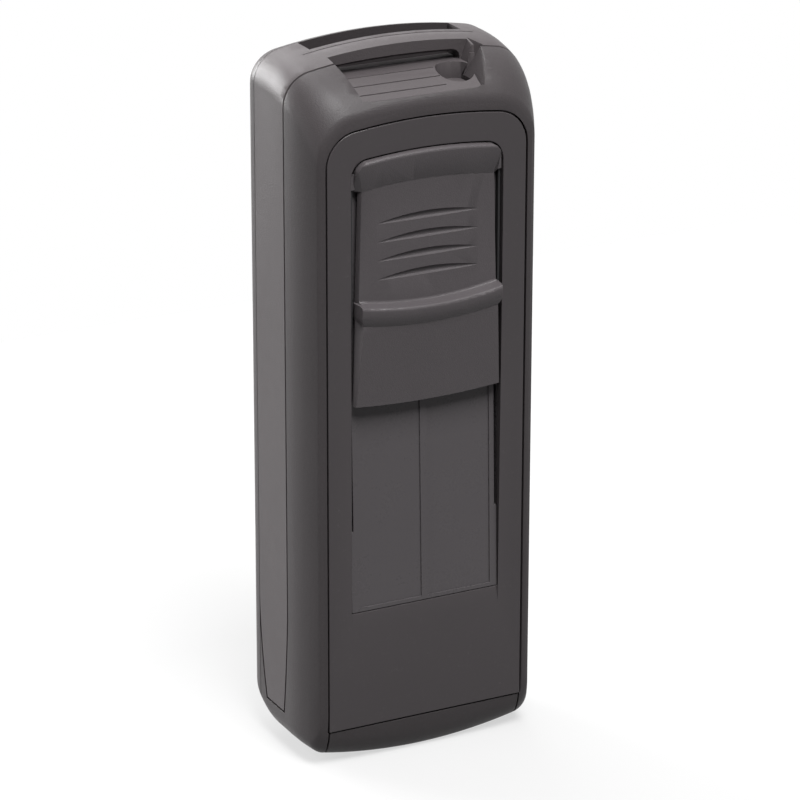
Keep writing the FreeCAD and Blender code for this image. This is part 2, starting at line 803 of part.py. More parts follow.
def die_block():
    """Turning holder of the text plate, with an ear at each end for a cam follower."""
    middle = axle_depth
    block = box(-plate_half_length, plate_half_length, middle - plate_half_depth, middle + plate_half_depth,
                axle_height - block_down, axle_height + block_up)
    for x in (plate_half_length, -plate_half_length - ear_thickness):
        base = V(x, at_depth(axle_depth), axle_height)
        hub = Part.makeCylinder(follower_radius + 1.4, ear_thickness, base, X_AXIS)
        tip = Part.makeCylinder(follower_radius + 0.6, ear_thickness, base + V(0, 0, follower_offset), X_AXIS)
        neck = Part.makeBox(ear_thickness, 2 * follower_radius + 1.2, follower_offset,
                            base - V(0, follower_radius + 0.6, 0))
        block = block.fuse(hub).fuse(tip).fuse(neck)
    block = block.cut(Part.makeCylinder(axle_radius + 0.02, 2 * far,
                                        V(-far, at_depth(axle_depth), axle_height), X_AXIS))
    hollow = box(-plate_half_length + 1.5, plate_half_length - 1.5, middle - 1, middle + 1,
                 axle_height + axle_radius + 0.8, axle_height + block_up + 1)
    block = block.cut(hollow)
    for x in (-1, 1):
        reach = plate_half_length + ear_thickness
        hole = Part.makeCylinder(follower_radius + 0.01, 0.8, V(x * reach - (0.8 if x > 0 else 0),
                                 at_depth(axle_depth), axle_height + follower_offset), X_AXIS)
        block = block.cut(hole)
    return block.removeSplitter()


def die_axle():
    return Part.makeCylinder(axle_radius, 2 * axle_half_length,
                             V(-axle_half_length, at_depth(axle_depth), axle_height), X_AXIS)


def cam_followers():
    """Two short pins in the holder's ears that run in the legs' grooves."""
    start = plate_half_length + ear_thickness - 0.75
    length = 0.75 + (leg_inner - plate_half_length - ear_thickness) + follower_reach
    pin = Part.makeCylinder(follower_radius, length,
                            V(start, at_depth(axle_depth), axle_height + follower_offset), X_AXIS)
    return Part.makeCompound(both_sides(pin))


def plate_cushion():
    middle = axle_depth
    top = axle_height - block_down
    return box(-plate_half_length, plate_half_length, middle - plate_half_depth, middle + plate_half_depth,
               top - cushion_thickness, top)


def text_plate():
    """Rubber plate with a raised border and plain bars in place of lettering."""
    middle = axle_depth
    top = axle_height - block_down - cushion_thickness
    plate = box(-plate_half_length, plate_half_length, middle - plate_half_depth, middle + plate_half_depth,
                relief, top)
    border = box(-plate_half_length, plate_half_length, middle - plate_half_depth, middle + plate_half_depth,
                 0, relief)
    rim = 0.7
    border = border.cut(box(-plate_half_length + rim, plate_half_length - rim,
                            middle - plate_half_depth + rim,
                            middle + plate_half_depth - rim, -1, relief))
    plate = plate.fuse(border)
    rows = 3
    bar_depth = 1.1
    pitch = 2.3
    for row in range(rows):
        depth = middle + (row - 1) * pitch - bar_depth / 2
        reach = plate_half_length - 2 - 1.5 * row
        plate = plate.fuse(box(-reach, reach, depth, depth + bar_depth, 0, relief))
    return plate.removeSplitter()


def ink_cartridge():
    """Tray that holds the pad face down and slides into the legs' channels."""
    middle = axle_depth
    bottom = pad_face + tray_rim
    tray = box(-tray_half_length, tray_half_length, middle - tray_half_depth, middle + tray_half_depth,
               bottom, bridge_bottom)
    low = bottom + 0.9 + slide_gap
    reach = leg_inner + tray_flange_reach
    tray = tray.fuse(box(-reach, reach, middle - tray_half_depth, middle + tray_half_depth, low,
                         low + tray_flange_thickness))
    pocket = box(-pad_half_length - 0.05, pad_half_length + 0.05, middle - pad_half_depth - 0.05,
                 middle + pad_half_depth + 0.05, bottom - 1, pad_face + pad_thickness)
    return tray.cut(pocket).removeSplitter()


def ink_pad():
    middle = axle_depth
    return box(-pad_half_length, pad_half_length, middle - pad_half_depth, middle + pad_half_depth,
               pad_face, pad_face + pad_thickness)


def slider_carriage():
    """Plate behind the track, with a flange through each slit up to the slider's base."""
    plate = box(-slider_base_half_width, slider_base_half_width, carriage_depth,
                carriage_depth + carriage_thickness, bridge_bottom, carriage_top)
    for flange in both_sides(box(slider_base_half_width - flange_thickness, slider_base_half_width,
                                 button_back_depth,
                                 carriage_depth + carriage_thickness, lip_bottom + flange_thickness,
                                 carriage_top - 1.4)):
        plate = plate.fuse(flange)
    return plate.removeSplitter()


def arched_profile(profile, height, radius, half, up):
    """Sweeps a profile in depth and height along an arched line that reaches a half width each side."""
    centre = height - radius if up else height + radius
    face = Part.Face(Part.Wire(profile))
    axis = V(0, 0, centre)
    sweep = 2 * math.degrees(math.asin(half / radius))
    face.rotate(axis, Y_AXIS, -sweep / 2)
    return face.revolve(axis, Y_AXIS, sweep)


def button_crest():
    """The facet above the thumb face, rising to the slider's top edge."""
    p = side_point
    back = button_back_depth
    waist = slider_middle + 4
    profile = [
        line(p(back, button_top), p(button_crest_depth + 0.5, button_top)),
        arc(p(button_crest_depth + 0.5, button_top), p(button_crest_depth + 0.13, button_top - 0.17),
            p(button_crest_depth, button_top - 0.55)),
        line(p(button_crest_depth, button_top - 0.55), p(button_face_depth - 0.1, scoop_top + 0.16)),
        arc(p(button_face_depth - 0.1, scoop_top + 0.16), p(button_face_depth - 0.025, scoop_top),
            p(button_face_depth, scoop_top - 0.2)),
        line(p(button_face_depth, scoop_top - 0.2), p(button_face_depth, waist)),
        line(p(button_face_depth, waist), p(back, waist)),
        line(p(back, waist), p(back, button_top)),
    ]
    return arched_profile(profile, button_top, slider_arch_radius, button_end_half_width + 1, True)


def roll_point(depth_centre, height_centre, radius, degrees):
    """A point on a circle, its angle measured up from the direction towards the front."""
    a = math.radians(degrees)
    return side_point(depth_centre - radius * math.cos(a), height_centre + radius * math.sin(a))


def button_lip():
    """The lip below the thumb face: a hollow, a short shelf, a round nose and an undercut."""
    p = side_point
    back = button_back_depth
    waist = slider_middle - 4
    turn = math.radians(lip_turn)
    gather = 1 - math.cos(turn)
    shelf = button_face_depth - lip_depth - (lip_hollow_radius + lip_nose_radius) * gather
    nose = lip_depth + lip_nose_radius
    upper = lip_peak + lip_nose_radius * math.sin(turn)
    shelf_top = upper + shelf / math.tan(turn)
    hollow_top = shelf_top + lip_hollow_radius * math.sin(turn)
    hollow = button_face_depth - lip_hollow_radius
    under = lip_under_depth - lip_depth
    under_radius = ((lip_peak - lip_bottom) ** 2 + under ** 2) / (2 * under)
    under_turn = math.degrees(math.asin((lip_peak - lip_bottom) / under_radius))
    shelf_start = roll_point(hollow, hollow_top, -lip_hollow_radius, lip_turn)
    shelf_end = roll_point(nose, lip_peak, lip_nose_radius, lip_turn)
    foremost = p(lip_depth, lip_peak)
    tip = p(lip_under_depth, lip_bottom)
    profile = [
        line(p(back, waist), p(button_face_depth, waist)),
        line(p(button_face_depth, waist), p(button_face_depth, hollow_top)),
        arc(p(button_face_depth, hollow_top),
            roll_point(hollow, hollow_top, -lip_hollow_radius, lip_turn / 2),
            shelf_start),
        line(shelf_start, shelf_end),
        arc(shelf_end, roll_point(nose, lip_peak, lip_nose_radius, lip_turn / 2), foremost),
        arc(foremost, roll_point(lip_depth + under_radius, lip_peak, under_radius, -under_turn / 2), tip),
        line(tip, p(back, lip_bottom)),
        line(p(back, lip_bottom), p(back, waist)),
    ]
    return arched_profile(profile, lip_bottom, lip_arch_radius, button_end_half_width + 1, False)


def lip_wire(depth, half, top):
    """The lip seen from the front: an arched lower edge with round corners, and straight sides."""
    y = at_depth(depth)
    side, middle, edge = corner_points(half, lip_bottom, lip_arch_radius, lip_corner_radius, -1)
    rounds = [[V(sign * q[0], y, q[1]) for q in (side, middle, edge)] for sign in (1, -1)]
    right, left = rounds
    corners = [V(half, y, top), V(-half, y, top)]
    return Part.Wire([arc(left[2], V(0, y, lip_bottom), right[2]), arc(right[2], right[1], right[0]),
                      line(right[0], corners[0]), line(corners[0], corners[1]), line(corners[1], left[0]),
                      arc(left[0], left[1], left[2])])


def lip_room(top):
    """The room inside the lip's outline, a little wider at its base than at its nose."""
    front, back = lip_depth - 1, button_back_depth + 1
    slope = (lip_base_half_width - lip_half_width) / (button_back_depth - lip_depth)
    wires = [lip_wire(depth, lip_half_width + slope * (depth - lip_depth), top) for depth in (front, back)]
    return Part.makeLoft(wires, True, True)


def button_sides():
    """What is cut from the slider's sides: flanks by the thumb face, bevels by the crest, the lip's ends."""
    shoulder = scoop_top - button_half_width ** 2 / (2 * slider_arch_radius)
    out = button_end_half_width + 3
    front, back = lip_depth - 1, button_back_depth + 0.01
    y0, y1 = at_depth(front), at_depth(back)
    rings = []
    for z, half in ((lip_side_top, button_low_half_width), (shoulder, button_half_width)):
        corners = [V(half, y0, z), V(half, at_depth(button_face_depth), z), V(half + button_flank, y1, z),
                   V(out, y1, z), V(out, y0, z)]
        rings.append(Part.makePolygon(corners + [corners[0]]))
    cuts = [Part.makeLoft(rings, True, True)]
    ends = box(-out, out, front, back, lip_bottom - 2, lip_side_top)
    cuts.append(ends.cut(lip_room(lip_side_top + 1)))
    spread = button_end_half_width - crest_end_half_width
    slope = spread / (button_back_depth - button_face_depth)
    ahead = crest_end_half_width - slope * (button_face_depth - front)
    corners = [V(ahead, y0, shoulder), V(button_end_half_width, at_depth(button_back_depth), shoulder),
               V(out, at_depth(button_back_depth), shoulder), V(out, y0, shoulder)]
    bevel = Part.Face(Part.makePolygon(corners + [corners[0]]))
    lean = V(spread, button_crest_depth - button_face_depth, crest_end_rise) * 1.2
    cuts.append(bevel.extrude(lean))
    return cuts


def slider_button():
    """Thumb dish: a crest above, a flat face with grip grooves, and a proud lip below."""
    button = button_crest().fuse(button_lip())
    button = button.fuse(box(-button_end_half_width, button_end_half_width, button_face_depth,
                             button_back_depth,
                             slider_middle - 5, slider_middle + 5))
    button = button.common(plate_outline(button_end_half_width, button_top, lip_bottom - 1,
                                         button_corner_radius,
                                         lip_depth - 1, button_back_depth))
    for cut in button_sides():
        for side in both_sides(cut):
            button = button.cut(side)
    ledge = box(-slider_base_half_width, slider_base_half_width, button_back_depth - slider_base_thickness,
                button_back_depth, scoop_top - 0.5, carriage_top - 1.4)
    button = button.fuse(ledge)
    for i in range(grip_count):
        button = button.cut(grip_groove(grip_first + i * grip_pitch))
    return button.removeSplitter()


def polygon_xz(points, depth0, depth1):
    """A prism through the case's depth from corners given as width and height."""
    corners = [V(x, at_depth(depth0), z) for x, z in points]
    face = Part.Face(Part.makePolygon(corners + [corners[0]]))
    return face.extrude(V(0, depth1 - depth0, 0))


def grip_groove(z):
    """A lens-shaped hollow that follows the slider's arch, deepest in the middle."""
    y = at_depth(button_face_depth)
    ahead = 0.2
    rings = []
    for i in range(-grip_steps, grip_steps + 1):
        x = grip_half_length * i / grip_steps
        share = max(1 - (i / grip_steps) ** 2, grip_taper)
        deep = grip_depth * share
        half = grip_width / 2 * share * math.sqrt((deep + ahead) / deep)
        middle = z - x ** 2 / (2 * slider_arch_radius)
        a, b = V(x, y - ahead, middle - half), V(x, y - ahead, middle + half)
        rings.append(Part.Wire([arc(a, V(x, y + deep, middle), b), line(b, a)]))
    return Part.makeLoft(rings, True, False)


def slider_shield():
    """Smooth ramp below the button that covers the upper end of the track and wraps the lip's corners."""
    back = shield_back_depth
    overlap = lip_side_top - 0.6
    points = [(back, overlap), (lip_under_depth, overlap), (lip_under_depth, lip_bottom),
              (shield_end_depth, shield_bottom - 1), (back, shield_bottom - 1)]
    shield = polygon_x(points, window_half_width).cut(lip_room(overlap + 1))
    square = [side_point(lip_depth - 1, shield_bottom), side_point(back + 1, shield_bottom),
              side_point(back + 1, shield_bottom - 6), side_point(lip_depth - 1, shield_bottom - 6)]
    shield = shield.cut(arched_profile([Part.makePolygon(square + [square[0]])], shield_bottom,
                                       2 * lip_arch_radius,
                                       window_half_width + 1, False))
    rings = []
    for z, half, depth in ((overlap + 1, shield_top_half_width, lip_under_depth),
                           (shield_bottom - 1, shield_end_half_width, shield_end_depth)):
        slope = shield_flank * (back - depth) / (back - lip_under_depth) / (back - depth)
        front = lip_depth - 1
        xs = [half - slope * (depth - front), half + slope * (back + 1 - depth)]
        out = window_half_width + 2
        corners = [V(xs[0], at_depth(front), z), V(xs[1], at_depth(back + 1), z),
                   V(out, at_depth(back + 1), z),
                   V(out, at_depth(front), z)]
        rings.append(Part.makePolygon(corners + [corners[0]]))
    flank = Part.makeLoft(rings, True, True)
    for side in both_sides(flank):
        shield = shield.cut(side)
    return shield.removeSplitter()


def detent_leaf():
    """Thin bowed strip that clicks into the track's two notches."""
    z = slider_middle
    back = panel_thickness + track_thickness
    strip = box(-leaf_half_width, leaf_half_width, carriage_depth - leaf_thickness, carriage_depth,
                z - leaf_half_length, z + leaf_half_length)
    bump_radius = 1.2
    bump = Part.makeCylinder(bump_radius, 2 * leaf_half_width,
                             V(-leaf_half_width, at_depth(back + bump_radius), z),
                             X_AXIS)
    bump = bump.common(box(-leaf_half_width, leaf_half_width, back - 0.1, carriage_depth, z - bump_radius,
                           z + bump_radius))
    return strip.fuse(bump).removeSplitter()


def biarc_path(points, tangents):
    """Circular arcs through points on a curve, two between each pair, smooth at every joint."""
    edges = []
    for p0, t0, p1, t1 in zip(points, tangents, points[1:], tangents[1:]):
        v = p1 - p0
        t = t0 + t1
        a = 2 * (1 - t0.dot(t1))
        b = v.dot(t)
        d = (-b + math.sqrt(b * b + a * v.dot(v))) / a
        q0 = p0 + t0 * d
        q1 = p1 - t1 * d
        joint = (q0 + q1) * 0.5
        for start, knee, end in ((p0, q0, joint), (joint, q1, p1)):
            chord = end - start
            angle = math.acos(chord.dot(knee - start) / (chord.Length * (knee - start).Length))
            middle = (start + end) * 0.5
            crown = middle + (knee - middle) * (math.tan(angle / 2) / math.tan(angle))
            edges.append(arc(start, crown, end))
    return Part.Wire(edges)


def return_spring(x):
    """Compression spring between the bridge and the bulkhead, one unbroken wire."""
    low = bridge_top + spring_wire + 0.03
    high = bulkhead_bottom - spring_wire - 0.03
    pitch = (high - low) / spring_turns
    points, tangents = [], []
    steps = 4 * spring_turns
    for i in range(steps + 1):
        a = 2 * math.pi * i / 4
        points.append(V(x + spring_radius * math.cos(a), at_depth(spring_depth) + spring_radius * math.sin(a),
                        low + (high - low) * i / steps))
        tangent = V(-spring_radius * math.sin(a), spring_radius * math.cos(a), pitch / (2 * math.pi))
        tangents.append(tangent.normalize())
    path = biarc_path(points, tangents)
    ring = Part.Wire(Part.makeCircle(spring_wire, points[0], tangents[0]))
    shell = Part.BRepOffsetAPI.MakePipeShell(path)
    shell.add(ring)
    shell.build()
    shell.makeSolid()
    return shell.shape()


def build_all():
    left_rail, right_rail = guide_rails()[1], guide_rails()[0]
    return {
        "front_shell": front_shell(),
        "middle_frame": middle_frame(),
        "rear_shell": rear_shell(),
        "front_panel": front_panel(),
        "track_plate": track_plate(),
        "top_bulkhead": top_bulkhead(),
        "guide_rail_left": left_rail,
        "guide_rail_right": right_rail,
        "axle_bushes": axle_bushes(),
        "print_frame": print_frame(),
        "foot_shoe": foot_shoe(),
        "ink_cartridge": ink_cartridge(),
        "ink_pad": ink_pad(),
        "slider_carriage": slider_carriage(),
        "slider_button": slider_button(),
        "slider_shield": slider_shield(),
        "detent_leaf": detent_leaf(),
        "die_block": die_block(),
        "die_axle": die_axle(),
        "cam_followers": cam_followers(),
        "plate_cushion": plate_cushion(),
        "text_plate": text_plate(),
        "return_spring_left": return_spring(-spring_offset),
        "return_spring_right": return_spring(spring_offset),
    }


os.makedirs("parts", exist_ok=True)
for name, shape in build_all().items():
    shape.exportStep("parts/" + name + ".step")
    size = shape.BoundBox
    print(name, "solids", len(shape.Solids), "valid", shape.isValid(), "volume", round(shape.Volume, 1),
          "x", round(size.XMin, 2), round(size.XMax, 2), "y", round(size.YMin, 2), round(size.YMax, 2),
          "z", round(size.ZMin, 2), round(size.ZMax, 2))
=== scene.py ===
"""Pocket self-inking stamp: finishes, softened edges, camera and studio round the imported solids."""

import logging
import math
from collections.abc import Sequence
from dataclasses import dataclass, field
from enum import Enum

import bmesh
import bpy
from mathutils import Matrix, Vector

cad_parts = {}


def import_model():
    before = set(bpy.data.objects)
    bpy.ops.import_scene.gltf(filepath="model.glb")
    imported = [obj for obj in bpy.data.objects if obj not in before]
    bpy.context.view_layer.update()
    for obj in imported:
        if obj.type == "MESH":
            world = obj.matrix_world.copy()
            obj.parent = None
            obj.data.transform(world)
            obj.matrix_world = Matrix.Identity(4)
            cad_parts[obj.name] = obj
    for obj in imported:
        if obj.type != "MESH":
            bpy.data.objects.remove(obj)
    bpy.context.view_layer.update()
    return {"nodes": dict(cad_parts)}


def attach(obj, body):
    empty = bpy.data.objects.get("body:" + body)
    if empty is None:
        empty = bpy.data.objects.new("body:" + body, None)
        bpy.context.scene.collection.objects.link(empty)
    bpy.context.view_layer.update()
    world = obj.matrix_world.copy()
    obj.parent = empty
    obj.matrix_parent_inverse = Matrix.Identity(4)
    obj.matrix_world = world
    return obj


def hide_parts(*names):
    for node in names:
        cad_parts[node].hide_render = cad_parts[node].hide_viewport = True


log = logging.getLogger("stamp")

Colour = tuple[float, float, float]
Place = tuple[float, float, float]
Stops = Sequence[tuple[float, float]]

WHITE: Colour = (1.0, 1.0, 1.0)
BACKGROUND_RAYS = ("Is Camera Ray", "Is Glossy Ray", "Is Transmission Ray")


class Signal:
    """A number socket that takes part in Python expressions."""

    def __init__(self, graph: "Graph", socket: bpy.types.NodeSocket) -> None:
        """Wraps one output socket of a material's graph.

        Args:
            graph: The graph that the socket belongs to.
            socket: The output socket.
        """
        self.graph = graph
        self.socket = socket

    def _math(self, operation: str, other: "Signal | float", clamp: bool = False) -> "Signal":
        """Adds one Math node over this signal and another value.

        Args:
            operation: The node's operation.
            other: The second value.
            clamp: Whether the result is held between 0 and 1.

        Returns:
            The result.
        """
        settings = {"operation": operation, "use_clamp": clamp}
        node = self.graph.node("ShaderNodeMath", settings, {0: self, 1: other})
        return Signal(self.graph, node.outputs[0])

    def __add__(self, other: "Signal | float") -> "Signal":
        return self._math("ADD", other)

    __radd__ = __add__

    def __mul__(self, other: "Signal | float") -> "Signal":
        return self._math("MULTIPLY", other)

    __rmul__ = __mul__

    def __rsub__(self, other: float) -> "Signal":
        return (self * -1.0) + other

    def clamped(self) -> "Signal":
        """The signal held between 0 and 1."""
        return self._math("ADD", 0.0, clamp=True)


class Graph:
    """One material's node graph."""

    def __init__(self, name: str) -> None:
        """Starts a graph that holds a Principled surface and the output.

        Args:
            name: The material's name.
        """
        self.material = bpy.data.materials.new(name)
        self.material.use_nodes = True
        self.tree = self.material.node_tree
        self.tree.nodes.clear()
        self.output = self.tree.nodes.new("ShaderNodeOutputMaterial")
        self.surface = self.tree.nodes.new("ShaderNodeBsdfPrincipled")
        self.tree.links.new(self.surface.outputs[0], self.output.inputs["Surface"])

    def node(self, kind: str, settings: dict, values: dict) -> bpy.types.Node:
        """Adds a node of a type.

        Args:
            kind: The node's type.
            settings: Its properties, set before any socket.
            values: Socket name or index to a number, a colour, a Signal or a socket.

        Returns:
            The new node.
        """
        node = self.tree.nodes.new(kind)
        for key, value in settings.items():
            setattr(node, key, value)
        for key, value in values.items():
            self.feed(node.inputs[key], value)
        return node

    def feed(self, socket: bpy.types.NodeSocket, value: object) -> None:
        """Sets a socket to a value, or links it to a signal or another socket.

        Args:
            socket: The input socket.
            value: A number, a colour, a Signal or an output socket.
        """
        if isinstance(value, Signal):
            self.tree.links.new(value.socket, socket)
        elif isinstance(value, bpy.types.NodeSocket):
            self.tree.links.new(value, socket)
        elif isinstance(value, tuple) and socket.type == "RGBA":
            socket.default_value = (*value, 1.0)
        else:
            socket.default_value = value

    def set_surface(self, values: dict) -> None:
        """Sets or links the surface's sockets.

        Args:
            values: Socket name to what feeds it.
        """
        for key, value in values.items():
            self.feed(self.surface.inputs[key], value)

    def noise(self, scale: float, detail: float = 2.0, roughness: float = 0.5) -> Signal:
        """Cloudy noise from 0 to 1 on object coordinates.

        Args:
            scale: Noise cells in one metre.
            detail: Octaves of finer noise.
            roughness: Strength of the finer octaves.

        Returns:
            The noise.
        """
        place = self.node("ShaderNodeTexCoord", {}, {}).outputs["Object"]
        values = {"Vector": place, "Scale": scale, "Detail": detail, "Roughness": roughness}
        return Signal(self, self.node("ShaderNodeTexNoise", {}, values).outputs["Fac"])

    def ramp(self, source: Signal, stops: Stops) -> Signal:
        """The source carried through grey stops.

        Args:
            source: What the ramp reads.
            stops: Two pairs of position and grey level.

        Returns:
            The grey level.
        """
        node = self.node("ShaderNodeValToRGB", {}, {"Fac": source})
        for element, (position, level) in zip(node.color_ramp.elements, stops):
            element.position = position
            element.color = (level, level, level, 1.0)
        return Signal(self, node.outputs["Color"])

    def mix(self, share: Signal, low: Colour, high: Colour) -> bpy.types.NodeSocket:
        """A colour between two.

        Args:
            share: How far the colour is from low to high.
            low: The colour at 0.
            high: The colour at 1.

        Returns:
            The mixed colour's socket.
        """
        factor, first, second, result = 0, 6, 7, 2
        values = {factor: share, first: low, second: high}
        return self.node("ShaderNodeMix", {"data_type": "RGBA"}, values).outputs[result]

    def bump(self, height: Signal, depth: float) -> None:
        """Feeds a height field into the surface's normal.

        Args:
            height: The field, from 0 to 1.
            depth: How tall it is, in metres.
        """
        values = {"Height": height, "Distance": depth, "Strength": 1.0}
        self.set_surface({"Normal": self.node("ShaderNodeBump", {}, values).outputs[0]})


@dataclass(frozen=True)
class MouldedPlastic:
    """Spark-eroded plastic: a fine even grain with faint clouding and handling marks."""

    name: str
    colour: Colour
    lighter: Colour
    roughness: float
    specular: float = 0.15
    grain_scale: float = 5200.0
    grain_depth: float = 0.000035
    cloud_scale: float = 38.0
    cloud_share: float = 0.65
    speck_scale: float = 2600.0
    speck_stops: Stops = ((0.35, 0.0), (0.75, 1.0))
    speck_roughness: float = 0.05
    rub_scale: float = 120.0
    rub_stops: Stops = ((0.42, 0.0), (0.68, 1.0))
    rub_polish: float = 0.07

    def build(self) -> bpy.types.Material:
        """Makes the material."""
        g = Graph(self.name)
        clouds = g.noise(self.cloud_scale, detail=3.0, roughness=0.6)
        specks = g.ramp(g.noise(self.speck_scale), self.speck_stops)
        rubbed = g.ramp(g.noise(self.rub_scale, detail=4.0, roughness=0.65), self.rub_stops)
        share = (clouds * self.cloud_share + specks * (1.0 - self.cloud_share)).clamped()
        roughness = self.roughness - self.rub_polish * rubbed + self.speck_roughness * specks
        g.set_surface({
            "Base Color": g.mix(share, self.colour, self.lighter),
            "Roughness": roughness,
            "Specular IOR Level": self.specular,
        })
        g.bump(g.noise(self.grain_scale, roughness=0.6), self.grain_depth)
        return g.material


@dataclass(frozen=True)
class GlossPanel:
    """Polished plastic: a clear reflection, softened by a little dust and fine rubbing."""

    name: str
    colour: Colour
    roughness: float = 0.16
    specular: float = 0.2
    dust_scale: float = 900.0
    dust_stops: Stops = ((0.58, 0.0), (0.8, 1.0))
    dust_share: float = 0.5
    dust_roughness: float = 0.12
    haze_scale: float = 45.0
    haze_share: float = 0.3
    haze_roughness: float = 0.08
    tint_gain: float = 1.25
    tint_lift: float = 0.004
    wave_scale: float = 220.0
    wave_depth: float = 0.000006

    def build(self) -> bpy.types.Material:
        """Makes the material."""
        g = Graph(self.name)
        dust = g.ramp(g.noise(self.dust_scale, detail=5.0, roughness=0.7), self.dust_stops)
        haze = g.noise(self.haze_scale, detail=3.0)
        share = (dust * self.dust_share + haze * self.haze_share).clamped()
        tint = tuple(c * self.tint_gain + self.tint_lift for c in self.colour)
        g.set_surface({
            "Base Color": g.mix(share, self.colour, tint),
            "Roughness": self.roughness + self.haze_roughness * haze + self.dust_roughness * dust,
            "Specular IOR Level": self.specular,
        })
        g.bump(g.noise(self.wave_scale), self.wave_depth)
        return g.material


@dataclass(frozen=True)
class DrawnSteel:
    """Bright steel with fine marks from drawing and grinding."""

    name: str
    colour: Colour
    roughness: float = 0.28
    mark_scale: float = 3200.0
    mark_shade: float = 0.8
    mark_roughness: float = 0.15
    mark_depth: float = 0.000004

    def build(self) -> bpy.types.Material:
        """Makes the material."""
        g = Graph(self.name)
        marks = g.noise(self.mark_scale, detail=3.0, roughness=0.7)
        darker = tuple(c * self.mark_shade for c in self.colour)
        g.set_surface({
            "Base Color": g.mix(marks, self.colour, darker),
            "Metallic": 1.0,
            "Roughness": self.roughness + self.mark_roughness * marks,
        })
        g.bump(marks, self.mark_depth)
        return g.material


@dataclass(frozen=True)
class SoftPad:
    """Felt, foam or rubber: matt, with a fibrous or fine-celled surface."""

    name: str
    colour: Colour
    lighter: Colour
    cell_scale: float
    cell_depth: float
    roughness: float = 0.85
    cell_roughness: float = 0.1

    def build(self) -> bpy.types.Material:
        """Makes the material."""
        g = Graph(self.name)
        cells = g.noise(self.cell_scale, detail=4.0, roughness=0.7)
        g.set_surface({
            "Base Color": g.mix(cells, self.colour, self.lighter),
            "Roughness": self.roughness + self.cell_roughness * cells,
        })
        g.bump(cells, self.cell_depth)
        return g.material


class Finish(Enum):
    """The finishes on this stamp."""

    SHELL = MouldedPlastic("shell_plastic", (0.034, 0.03, 0.031), (0.044, 0.039, 0.041), 0.4)
    BAND = MouldedPlastic("band_plastic", (0.05, 0.044, 0.046), (0.062, 0.055, 0.057), 0.42)
    PANEL = GlossPanel("panel_gloss", (0.042, 0.037, 0.039))
    TRACK = MouldedPlastic("track_plastic", (0.062, 0.057, 0.06), (0.07, 0.064, 0.067), 0.3,
                           grain_depth=0.000006)
    SLIDER = MouldedPlastic("slider_plastic", (0.058, 0.052, 0.055), (0.07, 0.063, 0.066), 0.36)
    FOOT = MouldedPlastic("foot_plastic", (0.034, 0.03, 0.031), (0.044, 0.039, 0.041), 0.4)
    INNER = MouldedPlastic("inner_plastic", (0.02, 0.02, 0.021), (0.03, 0.03, 0.031), 0.5)
    CARTRIDGE = MouldedPlastic("cartridge_plastic", (0.06, 0.06, 0.063), (0.075, 0.075, 0.078),
                               0.42)
    BEARING = MouldedPlastic("bearing_plastic", (0.6, 0.59, 0.55), (0.66, 0.65, 0.6), 0.35,
                             specular=0.4)
    SPRING = DrawnSteel("spring_steel", (0.62, 0.62, 0.63))
    AXLE = DrawnSteel("axle_steel", (0.66, 0.66, 0.67), 0.2)
    FELT = SoftPad("pad_felt", (0.012, 0.016, 0.06), (0.03, 0.035, 0.1), 2600.0, 0.00006)
    FOAM = SoftPad("cushion_foam", (0.06, 0.06, 0.06), (0.1, 0.1, 0.1), 3800.0, 0.00005)
    RUBBER = SoftPad("plate_rubber", (0.3, 0.09, 0.06), (0.38, 0.13, 0.09), 5200.0, 0.00001, 0.6)


FINISH_OF = {
    "front_shell": Finish.SHELL,
    "rear_shell": Finish.SHELL,
    "middle_frame": Finish.BAND,
    "front_panel": Finish.PANEL,
    "track_plate": Finish.TRACK,
    "slider_button": Finish.SLIDER,
    "slider_shield": Finish.SLIDER,
    "foot_shoe": Finish.FOOT,
    "top_bulkhead": Finish.INNER,
    "guide_rail_left": Finish.INNER,
    "guide_rail_right": Finish.INNER,
    "print_frame": Finish.INNER,
    "slider_carriage": Finish.INNER,
    "die_block": Finish.INNER,
    "ink_cartridge": Finish.CARTRIDGE,
    "axle_bushes": Finish.BEARING,
    "return_spring_left": Finish.SPRING,
    "return_spring_right": Finish.SPRING,
    "detent_leaf": Finish.SPRING,
    "die_axle": Finish.AXLE,
    "cam_followers": Finish.AXLE,
    "ink_pad": Finish.FELT,
    "plate_cushion": Finish.FOAM,
    "text_plate": Finish.RUBBER,
}

SOFTENED_NODES = {
    "front_shell": "case",
    "middle_frame": "case",
    "rear_shell": "case",
    "front_panel": "case",
    "slider_button": "frame",
    "slider_shield": "frame",
    "foot_shoe": "frame",
}


class Wardrobe:
    """Holds each finish's material once it's made, and puts it on the pieces."""

    def __init__(self) -> None:
        """Starts with no materials."""
        self.made: dict[Finish, bpy.types.Material] = {}

    def dress(self, obj: bpy.types.Object, node: str) -> None:
        """Gives an object its node's material and no other.

        Args:
            obj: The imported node, or the piece that stands for it.
            node: The node's name.
        """
        finish = FINISH_OF[node]
        if finish not in self.made:
            self.made[finish] = finish.value.build()
        obj.data.materials.clear()
        obj.data.materials.append(self.made[finish])
        log.info("dressed %s", obj.name)


